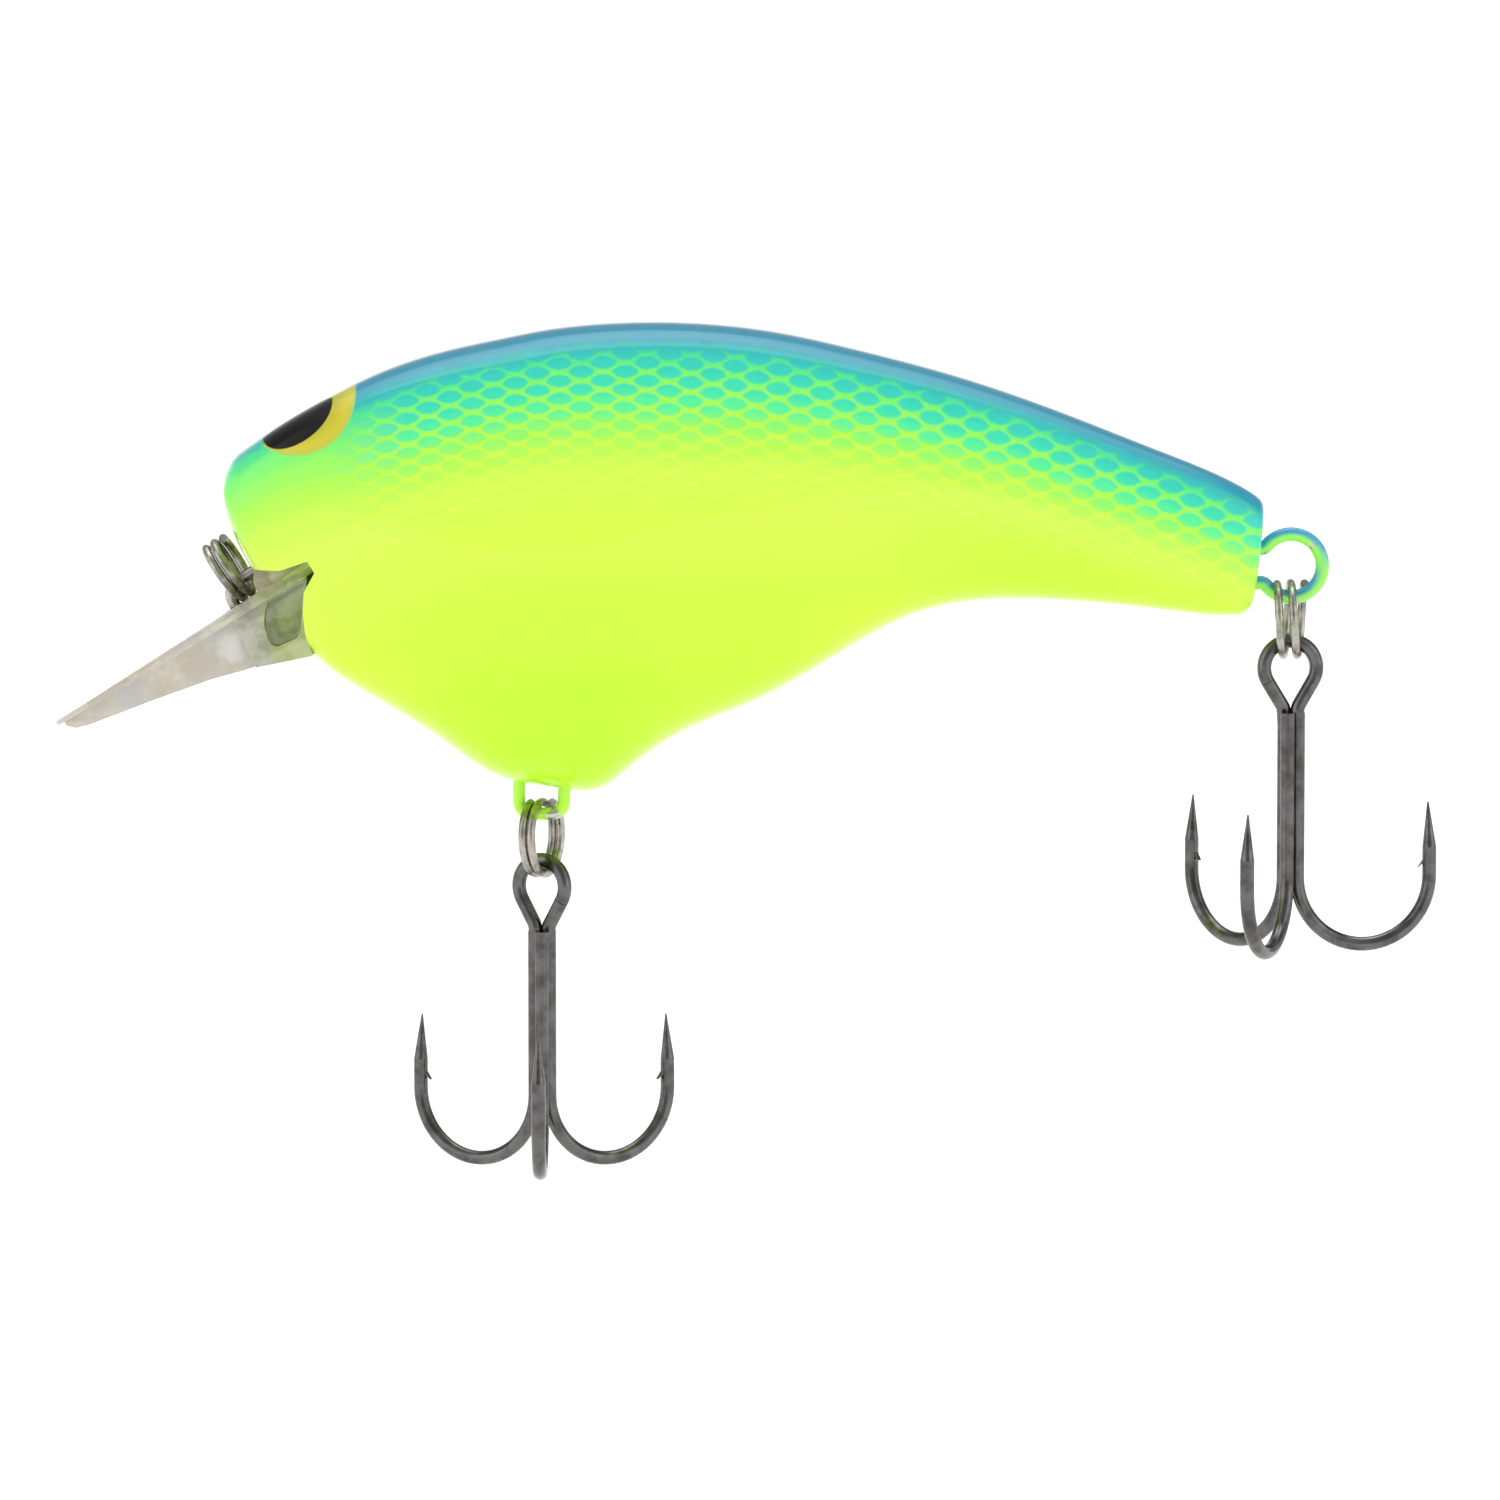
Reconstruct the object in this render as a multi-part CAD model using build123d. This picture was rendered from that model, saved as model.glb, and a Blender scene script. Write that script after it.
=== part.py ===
from build123d import *
from math import asin, atan, cos, degrees, pi, radians, sin, sqrt, tan
import os

# Squarebill crankbait, 70 mm long, in millimetres.
# Origin: centre of the line-tie loop under the nose. +X runs to the tail, +Z is up,
# the fish's left side faces -Y.

# --- driving dimensions -------------------------------------------------------------
NOSE_X = -1.42            # front of the nose
TAIL_X = 68.65            # flat end face of the body
WALL = 1.5                # moulded wall of the body shells
CAVITY_START = 2.2        # hollow of the shells, from here
CAVITY_END = 61.0         # to here

LIP_ANGLE = 32.45         # bill below horizontal
LIP_BELOW_TIE = 0.25      # bill's top face under the centre of the line-tie loop
LIP_REACH = 15.0          # line tie to the tip of the bill
LIP_ROOT = 5.05           # line tie back to the root of the bill
LIP_WIDTH = 16.0
LIP_THICKNESS = 0.9
LIP_ROOT_WIDTH = 8.4
LIP_CORNER = 2.6          # clipped front corners
KEEL_HALF_WIDTH = 1.7     # rib under the bill
BLOCK_HALF_WIDTH = 4.2    # root block under the bill
BLOCK_FRONT_X = 0.4
CORE = (1.3, 3.6, 1.3)    # hollow of the root block: front X, back X, half web between
RISER_FRONT_X = 0.6       # foot of the bill's riser up to the head
RISER_HALF_WIDTH = 3.4
TANG_HALF_WIDTH = 1.4     # tang held between the shells
TANG_ENDS = (-2.6, -10.4)     # along the bill, behind the line tie
TANG_ABOVE = 2.0          # over and under the bill's plane
TANG_BELOW = -2.5
NOTCH_ROOF_X = 2.5        # the head's flat underside runs back to here
NOTCH_WALL_X = 4.5        # back wall of the notch that takes the bill's root
HEAD_FLOOR_Z = 1.85       # underside of the head over the bill

TIE_WIRE = 0.8
TIE_LOOP_R = 1.1          # centre line of the line-tie loop
TIE_LEG = 9.2             # legs of the line tie, back from its loop
TIE_RECESS_R = 2.2
TIE_RECESS_DEPTH = 0.75   # under the bill's plane
BELLY_WIRE = 0.85
BELLY_HANGER = (19.88, -14.89)    # X, Z of the bottom of the belly U
BELLY_LEG_GAP = 3.04
BELLY_LEG = 5.6           # legs of the U up to their turned-out feet
BELLY_FOOT = 3.6
BELLY_CORNER_R = 0.85
TAIL_WIRE = 0.95
TAIL_LOOP = (70.54, 1.93)         # X, Z of the tail eye's centre
TAIL_LOOP_R = 2.13
TAIL_LEG_Z = 1.15                 # legs above and below the eye's centre
TAIL_LEG_START_X = 63.6
TAIL_FOOT = 1.35
TAIL_CORNER_R = 0.55

NOSE_RING_R = 2.05        # centre-line radii of the split rings
NOSE_RING_WIRE = 0.6
HOOK_RING_R = 2.43
HOOK_RING_WIRE = 0.58
RING_TURNS = 1.94
TURN_GAP = 0.03           # clearance between the two turns of a closed ring
TAIL_RING_PITCH = 0.95    # the tail ring's turns stand apart
RING_OVER_BELLY_WIRE = 0.80       # ring section above the wire that carries it
RING_OVER_TAIL_WIRE = 0.95

HOOK_WIRE = 0.96
EYE_R = 1.81              # centre line of the treble's eye
EYE_DROP = 5.35           # top of the eye to the top of the brazed shank
BEND_R = 4.6
SHANK_R = 0.556           # the three shanks' distance from the axis
BEND_DROP = 16.55         # top of the eye to the centres of the bends
TIP_RISE = 5.05           # points above the bend centres
POINT_LENGTH = 3.1        # needle taper above the barb
POINT_LEAN = 0.12         # the points lean in towards the shank
POINT_R = 0.05
BARB_ROOT = (0.3, 0.75)   # the barb's root starts and ends this far below the taper
BARB_DROP = 1.4           # its tip, below the foot of the taper
BARB_REACH = 0.34         # its tip, off the wire
BARB_THICKNESS = 0.3
BRAZE_LENGTH = 7.6        # brazed stretch of the shank
BRAZE_R = 0.46            # brazing metal between the three shanks
EYE_OVER_BELLY_RING = 0.93        # treble's eye wire above the ring's lowest section
EYE_OVER_TAIL_RING = 0.95

# The hanging parts as they come to rest, turned about Z.
NOSE_RING_TURN = -9.0
BELLY_RING_TURN = -23.0
TAIL_RING_TURN = -10.0
BELLY_TREBLE_TURN = 150.0         # direction of the hook in line with the eye
TAIL_TREBLE_TURN = 9.3

BALLAST_R = 3.2
BALLAST_LENGTH = 8.4
BALLAST_AT = (19.9, -3.9)         # X, Z
RATTLE_BALL_R = 1.75
RATTLE_BORE_R = 2.05
RATTLES = [(30.0, 4.5, 4.6), (36.5, 5.5, 4.1), (43.0, 6.3, 3.4)]   # X, Z, half length
PEG_R = 0.9
PEG_LENGTH = 1.8
PEG_BOSS_R = 2.0
PEGS = [(12.5, 10.5), (27.0, 13.4), (49.5, 8.6), (58.0, 5.0)]      # X, Z
BULKHEADS = [26.4, 53.5]          # stiffening walls across the hollow
BULKHEAD_THICKNESS = 1.2
BEYOND = 30.0             # past the body's sides, for bars and planes cut by its form

# Body stations: X, top Z, bottom Z, half width, roundness (2 is an ellipse).
STATIONS = [
    (-1.42, 7.55, 6.55, 2.30, 2.0),
    (-1.36, 8.05, 5.90, 2.75, 2.0),
    (-1.16, 8.68, 5.00, 3.25, 2.1),
    (-0.80, 9.18, 4.10, 3.80, 2.3),
    (0.00, 9.78, 2.50, 4.55, 2.5),
    (2.00, 10.98, -0.50, 5.40, 2.7),
    (4.60, 12.22, -3.95, 6.10, 2.8),
    (8.50, 14.68, -6.80, 6.75, 2.8),
    (13.00, 16.33, -9.65, 7.15, 2.8),
    (17.50, 17.36, -12.45, 7.35, 2.8),
    (20.50, 17.93, -13.00, 7.38, 2.8),
    (23.70, 18.27, -13.17, 7.33, 2.8),
    (25.90, 18.38, -11.70, 7.24, 2.8),
    (29.20, 18.38, -9.40, 7.05, 2.8),
    (34.50, 17.93, -7.08, 6.60, 2.8),
    (41.00, 16.60, -3.38, 5.85, 2.8),
    (44.50, 15.72, -1.53, 5.45, 2.8),
    (48.00, 14.74, -0.56, 5.05, 2.8),
    (54.50, 12.52, -0.35, 4.30, 2.8),
    (61.50, 9.78, -0.98, 3.50, 2.8),
    (66.80, 7.48, -1.41, 2.80, 2.8),
    (67.80, 6.95, -0.85, 2.50, 2.7),
    (68.40, 6.45, 0.10, 2.15, 2.5),
    (68.65, 5.95, 1.20, 1.80, 2.4),
]
CAMBER_Z = 0.46           # height of the widest point, as a share of the section


# --- frames and small helpers ---------------------------------------------------------
def along_lip(forward, above, side=0.0):
    """A point given along the bill (forward), off its plane (above) and across it."""
    a = radians(LIP_ANGLE)
    return Vector(-forward * cos(a) - above * sin(a), side, -forward * sin(a) + above * cos(a))


def side_prism(points, half_width):
    """A polygon in the XZ plane, thickened across Y."""
    wire = Wire.make_polygon([Vector(x, 0, z) for x, z in points], close=True)
    return extrude(Face(wire), amount=half_width, dir=(0, 1, 0), both=True)


def cross_bar(x, z, radius, half_length):
    """A round bar along Y."""
    return Cylinder(radius, 2 * half_length, rotation=(90, 0, 0)).moved(Location((x, 0, z)))


def block(x0, x1, y0, y1, z0, z1):
    middle = ((x0 + x1) / 2, (y0 + y1) / 2, (z0 + z1) / 2)
    return Box(x1 - x0, y1 - y0, z1 - z0).moved(Location(middle))


def tube(path, diameter):
    """Round wire along a smooth path."""
    section = Plane(origin=path @ 0, z_dir=path % 0) * Circle(diameter / 2)
    return sweep(section, path=path)


def save(shape, node):
    """Write one sub-part to parts/NODE.step."""
    part = shape if isinstance(shape, Compound) else Part(shape.wrapped)
    part.label = node
    export_step(part, f"parts/{node}.step")


# --- body shells ----------------------------------------------------------------------
def section_face(x, top, bottom, half_width, roundness):
    """A closed superellipse across the body, widest a little below the middle."""
    widest = bottom + CAMBER_Z * (top - bottom)
    power = 2 / roundness
    points = []
    steps = 24
    for i in range(steps):
        angle = 2 * pi * (i + 0.5) / steps
        c, s = cos(angle), sin(angle)
        reach = (top - widest) if s > 0 else (widest - bottom)
        y = half_width * abs(c) ** power * (1 if c > 0 else -1)
        z = widest + reach * abs(s) ** power * (1 if s > 0 else -1)
        points.append((x, y, z))
    return Face(Wire([Edge.make_spline([Vector(p) for p in points], periodic=True)]))


def hull(shrink=0.0, start=NOSE_X, end=TAIL_X):
    """The body's outer form, or the same form drawn in by the wall for the hollow."""
    rows = [s for s in STATIONS if start <= s[0] <= end]
    faces = []
    for x, top, bottom, half_width, roundness in rows:
        faces.append(section_face(x, top - shrink, bottom + shrink, half_width - shrink, roundness))
    return loft(faces)


def lip_line(x, above):
    """Z on a line parallel to the bill, at this X."""
    a = radians(LIP_ANGLE)
    start = along_lip(0, above)
    return start.Z + (x - start.X) * tan(a)


def notch():
    """Room cut out of the head for the bill's root block and riser."""
    front = NOSE_X - 2
    below = -14.0
    points = [
        (front, HEAD_FLOOR_Z),
        (NOTCH_ROOF_X, HEAD_FLOOR_Z),
        (NOTCH_WALL_X, lip_line(NOTCH_WALL_X, -LIP_BELOW_TIE)),
        (NOTCH_WALL_X, below),
        (front, below),
    ]
    return side_prism(points, BEYOND)


def slanted_bar(ends, below, above, half_width):
    """A bar parallel to the bill."""
    corners = [(ends[0], below), (ends[0], above), (ends[1], above), (ends[1], below)]
    points = [along_lip(forward, height) for forward, height in corners]
    return side_prism([(p.X, p.Z) for p in points], half_width)


def tang():
    return slanted_bar(TANG_ENDS, TANG_BELOW, TANG_ABOVE, TANG_HALF_WIDTH)


def inner_structure():
    """Everything that stays solid inside the hollow, over its whole width."""
    bx, bz = BALLAST_AT
    seat = BALLAST_R + 1.2
    ux, uz = BELLY_HANGER
    rib = BELLY_LEG_GAP / 2 + BELLY_FOOT + 0.3
    socket = 1.2                # plastic round the bill's tang
    head_back, head_top = NOTCH_WALL_X + 1.7, HEAD_FLOOR_Z + 2.55
    chamber_wall = 1.0
    kept = [
        slanted_bar((0.6, TANG_ENDS[1] - socket), TANG_BELOW - socket, TANG_ABOVE + socket, BEYOND),
        block(NOSE_X, head_back, -BEYOND, BEYOND, -BEYOND, head_top),
        block(ux - rib, ux + rib, -BEYOND, BEYOND, uz, uz + BELLY_LEG + 1.4),
        block(bx - seat, bx + seat, -BEYOND, BEYOND, bz - seat, bz + seat),
    ]
    for x, z, _ in RATTLES:
        kept.append(cross_bar(x, z, RATTLE_BORE_R + chamber_wall, BEYOND))
    for x, z in PEGS:
        kept.append(cross_bar(x, z, PEG_BOSS_R, BEYOND))
    for x in BULKHEADS:
        kept.append(block(x, x + BULKHEAD_THICKNESS, -BEYOND, BEYOND, -BEYOND, BEYOND))
    return kept


def body_shells(wires):
    """Two welded shells, parted on the middle plane, hollow round ribs, bosses and chambers."""
    outer = hull() - notch()
    hollow = hull(WALL, CAVITY_START - 0.3, CAVITY_END + 1.0)
    for solid in inner_structure():
        hollow -= solid
    body = outer - hollow - tang() - cross_bar(BALLAST_AT[0], BALLAST_AT[1], BALLAST_R,
                                               BALLAST_LENGTH / 2)
    for x, z, half_length in RATTLES:
        body -= cross_bar(x, z, RATTLE_BORE_R, half_length)
    for wire in wires:
        body -= wire
    ends = (NOSE_X - 3, TAIL_X + 3)
    left = body & block(*ends, -BEYOND, 0, -BEYOND, BEYOND)
    right = body & block(*ends, 0, BEYOND, -BEYOND, BEYOND)
    for x, z in PEGS:
        peg = cross_bar(x, z, PEG_R, PEG_LENGTH)
        left += peg
        right -= peg
    return left, right


# --- bill -----------------------------------------------------------------------------
def diving_lip(wire):
    """Clear bill: slab, keel, cored root block, riser to the head and tang between the shells."""
    top = -LIP_BELOW_TIE
    buried = top - 0.1          # the slab's neighbours reach this far into it
    half, root = LIP_WIDTH / 2, LIP_ROOT_WIDTH / 2
    outline = [
        (-LIP_ROOT, root), (-1.5, root + 0.5), (3.2, half - 0.5), (7.0, half),
        (LIP_REACH - LIP_CORNER, half), (LIP_REACH, half - LIP_CORNER),
    ]
    corners = [along_lip(f, top, w) for f, w in outline]
    corners += [along_lip(f, top, -w) for f, w in reversed(outline)]
    down = along_lip(0, -1)
    slab = extrude(Face(Wire.make_polygon(corners, close=True)), amount=LIP_THICKNESS, dir=down)

    root_x = NOTCH_WALL_X
    root_low = -3.95            # lowest corner of the root block, at the notch's wall
    slab_root = (root_x, lip_line(root_x, buried))
    keel_front = LIP_REACH - 0.3
    keel_line = [along_lip(keel_front, buried), along_lip(keel_front, -1.5), along_lip(5.1, -3.49)]
    keel = side_prism([(p.X, p.Z) for p in keel_line]
                      + [(1.08, -4.67), (root_x, root_low), slab_root], KEEL_HALF_WIDTH)
    root_block = side_prism(
        [(BLOCK_FRONT_X, -4.4), (root_x, root_low), slab_root,
         (BLOCK_FRONT_X, lip_line(BLOCK_FRONT_X, buried))], BLOCK_HALF_WIDTH)
    front, back, web = CORE
    under_slab = top - LIP_THICKNESS
    core = side_prism(
        [(front, -3.2), (back, -2.75), (back, lip_line(back, under_slab)),
         (front, lip_line(front, under_slab))], BLOCK_HALF_WIDTH)
    core -= block(front - 1, back + 1, -web, web, -BEYOND, BEYOND)
    riser = side_prism(
        [(RISER_FRONT_X, lip_line(RISER_FRONT_X, buried)), (RISER_FRONT_X, HEAD_FLOOR_Z),
         (NOTCH_ROOF_X, HEAD_FLOOR_Z), (root_x, lip_line(root_x, top)), slab_root],
        RISER_HALF_WIDTH)
    recess_top = 1.0
    recess = Plane(origin=along_lip(0, recess_top), z_dir=down) * Cylinder(
        TIE_RECESS_R, recess_top + TIE_RECESS_DEPTH,
        align=(Align.CENTER, Align.CENTER, Align.MIN))
    bill = slab + keel + (root_block - core) + riser - recess
    bill -= block(root_x, root_x + LIP_ROOT, -BEYOND, BEYOND, -BEYOND, BEYOND)
    return bill + tang() - wire


# --- fixed wires ----------------------------------------------------------------------
def line_tie_path():
    """A loop at the origin whose two legs run back side by side."""
    r = TIE_LOOP_R
    upper = Line(along_lip(-TIE_LEG, r), along_lip(0, r))
    front = ThreePointArc(along_lip(0, r), along_lip(r, 0), along_lip(0, -r))
    lower = Line(along_lip(0, -r), along_lip(-TIE_LEG, -r))
    return Wire([upper, front, lower])


def belly_hanger_path():
    """A U below the belly whose legs turn outwards inside the shells."""
    x, z = BELLY_HANGER
    half = BELLY_LEG_GAP / 2
    end = half + BELLY_FOOT
    foot_z = z + BELLY_LEG
    points = [(x - end, 0, foot_z), (x - half, 0, foot_z), (x - half, 0, z),
              (x + half, 0, z), (x + half, 0, foot_z), (x + end, 0, foot_z)]
    foot_r = 0.9
    return FilletPolyline(*points, radius=[foot_r, BELLY_CORNER_R, BELLY_CORNER_R, foot_r])


def tail_hanger_path():
    """A round eye behind the tail; both legs run in between the shells and turn away."""
    x, z = TAIL_LOOP
    meet = x - sqrt(TAIL_LOOP_R ** 2 - TAIL_LEG_Z ** 2)
    far = Vector(x + TAIL_LOOP_R, 0, z)
    high = Vector(meet, 0, z + TAIL_LEG_Z)
    low = Vector(meet, 0, z - TAIL_LEG_Z)
    upper_start = Vector(TAIL_LEG_START_X, 0, high.Z)
    lower_start = Vector(TAIL_LEG_START_X, 0, low.Z)
    foot = Vector(0, 0, TAIL_FOOT)
    wire = Wire([Line(upper_start + foot, upper_start), Line(upper_start, high),
                 ThreePointArc(high, far, low), Line(low, lower_start),
                 Line(lower_start, lower_start - foot)])
    corners = [v for v in wire.vertices() if abs(v.Z - z) < TAIL_LEG_Z + 0.01]
    return wire.fillet_2d(TAIL_CORNER_R, corners)


# --- split rings ----------------------------------------------------------------------
def split_ring(radius, wire, pitch):
    """Two turns of wire about local X, ends cut at one side, centred on the local origin."""
    height = pitch * RING_TURNS
    path = Helix(pitch, height, radius, center=(0, 0, -height / 2))
    coil = tube(path, wire)
    # The helix leans by a quarter pitch at top and bottom; the tilt takes that out.
    coil = coil.rotate(Axis.Z, 180 * (2 - RING_TURNS))
    lean = degrees(atan(pitch / 4 / radius))
    coil = coil.rotate(Axis.X, lean)
    return coil.rotate(Axis.Z, 90).rotate(Axis.X, 90).rotate(Axis.Z, 90)


# --- treble hooks ---------------------------------------------------------------------
def hook_leg(direction, wire):
    """One hook below the brazed shank top: shank, round bend, barbed needle point."""
    out = radians(direction)
    radial = Vector(cos(out), sin(out), 0)

    def at(reach, z):
        return radial * reach + Vector(0, 0, z)

    bend_z = -BEND_DROP
    leg_r = SHANK_R + 2 * BEND_R
    shank = Line(at(SHANK_R, -EYE_DROP), at(SHANK_R, bend_z))
    bend = ThreePointArc(at(SHANK_R, bend_z), at(SHANK_R + BEND_R, bend_z - BEND_R),
                         at(leg_r, bend_z))
    taper_z = bend_z + TIP_RISE - POINT_LENGTH
    leg = Line(at(leg_r, bend_z), at(leg_r, taper_z))
    hook = tube(Wire([shank, bend, leg]), wire)
    base = Plane(origin=at(leg_r, taper_z), z_dir=(0, 0, 1)) * Circle(wire / 2)
    tip_place = at(leg_r - POINT_LEAN, taper_z + POINT_LENGTH)
    tip = Plane(origin=tip_place, z_dir=(0, 0, 1)) * Circle(POINT_R)
    needle = loft([base, tip])
    in_wire = leg_r - 0.1
    root_top, root_foot = BARB_ROOT
    barb_points = [at(in_wire, taper_z - root_top), at(in_wire, taper_z - root_foot),
                   at(leg_r - wire / 2 - BARB_REACH, taper_z - BARB_DROP)]
    across = Vector(-sin(out), cos(out), 0)
    barb = extrude(Face(Wire.make_polygon(barb_points, close=True)), amount=BARB_THICKNESS / 2,
                   dir=across, both=True)
    return hook + needle + barb


def treble_eye(wire, side):
    """The teardrop eye in the local XZ plane, running down into two of the shanks."""
    centre_z = -(wire / 2 + EYE_R)
    knee_x, knee_z = 0.5, -EYE_DROP + 0.35
    rise = centre_z - knee_z
    flare = asin(EYE_R / sqrt(knee_x ** 2 + rise ** 2)) - atan(knee_x / rise)
    tangent = Vector(EYE_R * cos(flare), 0, centre_z - EYE_R * sin(flare))
    mirrored = Vector(-tangent.X, 0, tangent.Z)
    third = radians(120) * side
    foot_z = -EYE_DROP - 0.9
    foot_a = Vector(SHANK_R, 0, foot_z)
    foot_b = Vector(SHANK_R * cos(third), -SHANK_R * sin(third), foot_z)
    knee_b = Vector(-0.42, -0.2 * side, knee_z)
    leg_a = FilletPolyline(foot_a, Vector(knee_x, 0, knee_z), tangent, radius=[0.9])
    leg_b = FilletPolyline(foot_b, knee_b, mirrored, radius=[0.6])
    top = ThreePointArc(tangent, (0, 0, -wire / 2), mirrored)
    return tube(leg_a, wire) + tube(top, wire) + tube(leg_b, wire)


def treble(side):
    """A treble hanging from local Z 0: the double (eye and two hooks) and the brazed single."""
    double = treble_eye(HOOK_WIRE, side) + hook_leg(0, HOOK_WIRE) + hook_leg(-120 * side, HOOK_WIRE)
    braze = Cylinder(BRAZE_R, BRAZE_LENGTH, align=(Align.CENTER, Align.CENTER, Align.MAX))
    double += braze.moved(Location((0, 0, -EYE_DROP)))
    single = hook_leg(120 * side, HOOK_WIRE) - double
    return double, single


# --- assembly -------------------------------------------------------------------------
def hung_ring(x, wire_z, over, pitch, turn):
    """A hook ring hanging on a wire at x, wire_z; also gives its lowest section's Z."""
    centre_z = wire_z + over - HOOK_RING_R
    ring = split_ring(HOOK_RING_R, HOOK_RING_WIRE, pitch).rotate(Axis.Z, turn)
    return ring.moved(Location((x, 0, centre_z))), centre_z - HOOK_RING_R


def hung_treble(x, ring_bottom_z, eye_over, turn, side):
    top_z = ring_bottom_z + eye_over + HOOK_WIRE / 2
    place = Location((x, 0, top_z), (0, 0, turn))
    return [piece.moved(place) for piece in treble(side)]


def nose_ring():
    """The line-tie ring, standing square to the bill."""
    ring = split_ring(NOSE_RING_R, NOSE_RING_WIRE, NOSE_RING_WIRE + TURN_GAP)
    ring = ring.rotate(Axis.Z, NOSE_RING_TURN).moved(Location((0, 0, NOSE_RING_R)))
    return ring.rotate(Axis.Y, -LIP_ANGLE)


def main():
    os.makedirs("parts", exist_ok=True)
    line_tie = tube(line_tie_path(), TIE_WIRE)
    belly_hanger = tube(belly_hanger_path(), BELLY_WIRE)
    tail_hanger = tube(tail_hanger_path(), TAIL_WIRE)
    left, right = body_shells([line_tie, belly_hanger, tail_hanger])
    save(left, "body_half_left")
    save(right, "body_half_right")
    save(diving_lip(line_tie), "diving_lip")
    save(line_tie, "line_tie_wire")
    save(belly_hanger, "belly_hanger_wire")
    save(tail_hanger, "tail_hanger_wire")
    save(cross_bar(*BALLAST_AT, BALLAST_R, BALLAST_LENGTH / 2), "belly_ballast")
    for number, (x, z, _) in enumerate(RATTLES, start=1):
        save(Sphere(RATTLE_BALL_R).moved(Location((x, 0, z))), f"rattle_ball_{number}")

    belly_x, belly_z = BELLY_HANGER
    tail_x = TAIL_LOOP[0]
    tail_z = TAIL_LOOP[1] - TAIL_LOOP_R
    belly_ring, belly_low = hung_ring(belly_x, belly_z, RING_OVER_BELLY_WIRE,
                                      HOOK_RING_WIRE + TURN_GAP, BELLY_RING_TURN)
    tail_ring, tail_low = hung_ring(tail_x, tail_z, RING_OVER_TAIL_WIRE, TAIL_RING_PITCH,
                                    TAIL_RING_TURN)
    save(nose_ring(), "split_ring_nose")
    save(belly_ring, "split_ring_belly")
    save(tail_ring, "split_ring_tail")
    trebles = {
        "belly": hung_treble(belly_x, belly_low, EYE_OVER_BELLY_RING, BELLY_TREBLE_TURN, 1),
        "tail": hung_treble(tail_x, tail_low, EYE_OVER_TAIL_RING, TAIL_TREBLE_TURN, -1),
    }
    for place, (double, single) in trebles.items():
        save(double, f"{place}_treble_double")
        save(single, f"{place}_treble_single")


if __name__ == "__main__":
    main()
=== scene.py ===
import math
import bmesh
import bpy
import numpy as np
from mathutils import Matrix, Vector


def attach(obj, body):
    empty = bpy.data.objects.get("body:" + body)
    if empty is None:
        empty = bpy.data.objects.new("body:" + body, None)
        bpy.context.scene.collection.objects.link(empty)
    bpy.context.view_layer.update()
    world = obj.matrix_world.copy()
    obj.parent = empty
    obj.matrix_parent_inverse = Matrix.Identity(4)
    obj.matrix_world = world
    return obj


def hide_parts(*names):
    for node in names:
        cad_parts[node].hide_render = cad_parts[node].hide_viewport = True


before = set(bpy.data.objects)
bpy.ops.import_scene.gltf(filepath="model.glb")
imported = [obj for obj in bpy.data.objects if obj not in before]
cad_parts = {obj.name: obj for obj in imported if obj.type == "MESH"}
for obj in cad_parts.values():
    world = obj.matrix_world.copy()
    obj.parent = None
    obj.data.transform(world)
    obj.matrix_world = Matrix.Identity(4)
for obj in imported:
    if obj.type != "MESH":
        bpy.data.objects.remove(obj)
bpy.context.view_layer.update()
MM = 0.001

# Body stations, millimetres: X, top Z, bottom Z, half width, roundness (2 is an ellipse).
STATIONS = [
    (-1.42, 7.55, 6.55, 2.30, 2.0),
    (-1.36, 8.05, 5.90, 2.75, 2.0),
    (-1.16, 8.68, 5.00, 3.25, 2.1),
    (-0.80, 9.22, 4.10, 3.65, 2.5),
    (0.00, 9.90, 2.50, 4.30, 3.0),
    (2.00, 11.25, -0.50, 5.05, 3.9),
    (4.60, 12.80, -3.95, 5.75, 4.1),
    (8.50, 14.80, -6.80, 6.55, 3.4),
    (13.00, 16.36, -9.65, 7.12, 2.9),
    (17.50, 17.36, -12.45, 7.35, 2.8),
    (20.50, 17.93, -13.00, 7.38, 2.8),
    (23.70, 18.27, -13.17, 7.33, 2.8),
    (25.90, 18.38, -11.70, 7.24, 2.8),
    (29.20, 18.38, -9.40, 7.05, 2.8),
    (34.50, 17.93, -7.08, 6.60, 2.8),
    (41.00, 16.60, -3.38, 5.85, 2.8),
    (44.50, 15.72, -1.53, 5.45, 2.8),
    (48.00, 14.74, -0.56, 5.05, 2.8),
    (54.50, 12.52, -0.35, 4.30, 2.8),
    (61.50, 9.78, -0.98, 3.50, 2.8),
    (66.90, 7.45, -1.42, 2.80, 2.8),
    (67.60, 7.05, -1.34, 2.62, 2.8),
    (68.15, 6.68, -1.05, 2.40, 2.7),
    (68.50, 6.35, -0.45, 2.15, 2.6),
    (68.65, 5.95, 0.35, 1.85, 2.5),
]
TAIL_X = STATIONS[-1][0]
TAIL_SLANT = 0.55         # the tail's foot stands this far ahead of its top
SLANT_START_X = 60.0
WIDEST_SHARE = 0.46       # height of the widest point within a section
LENGTH_STEPS = 300
ROUND_STEPS = 120

LIP_ANGLE = math.radians(32.45)   # the bill slopes down this much towards its tip
HEAD_FLOOR_Z = 1.85       # underside of the head, over the bill's riser
PLATE_TOP = -0.25         # the bill's plate: heights off the plane through the line tie
PLATE_UNDER = -0.92       # 1 mm forward of the line tie
PLATE_TAPER = 0.026       # and this much higher for each millimetre further forward
TIE_RECESS_R = 2.2
TIE_RECESS_TOP, TIE_RECESS_FLOOR = 1.0, -0.75     # heights off the line tie's plane
TIE_RECESS_STEPS = 48


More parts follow.
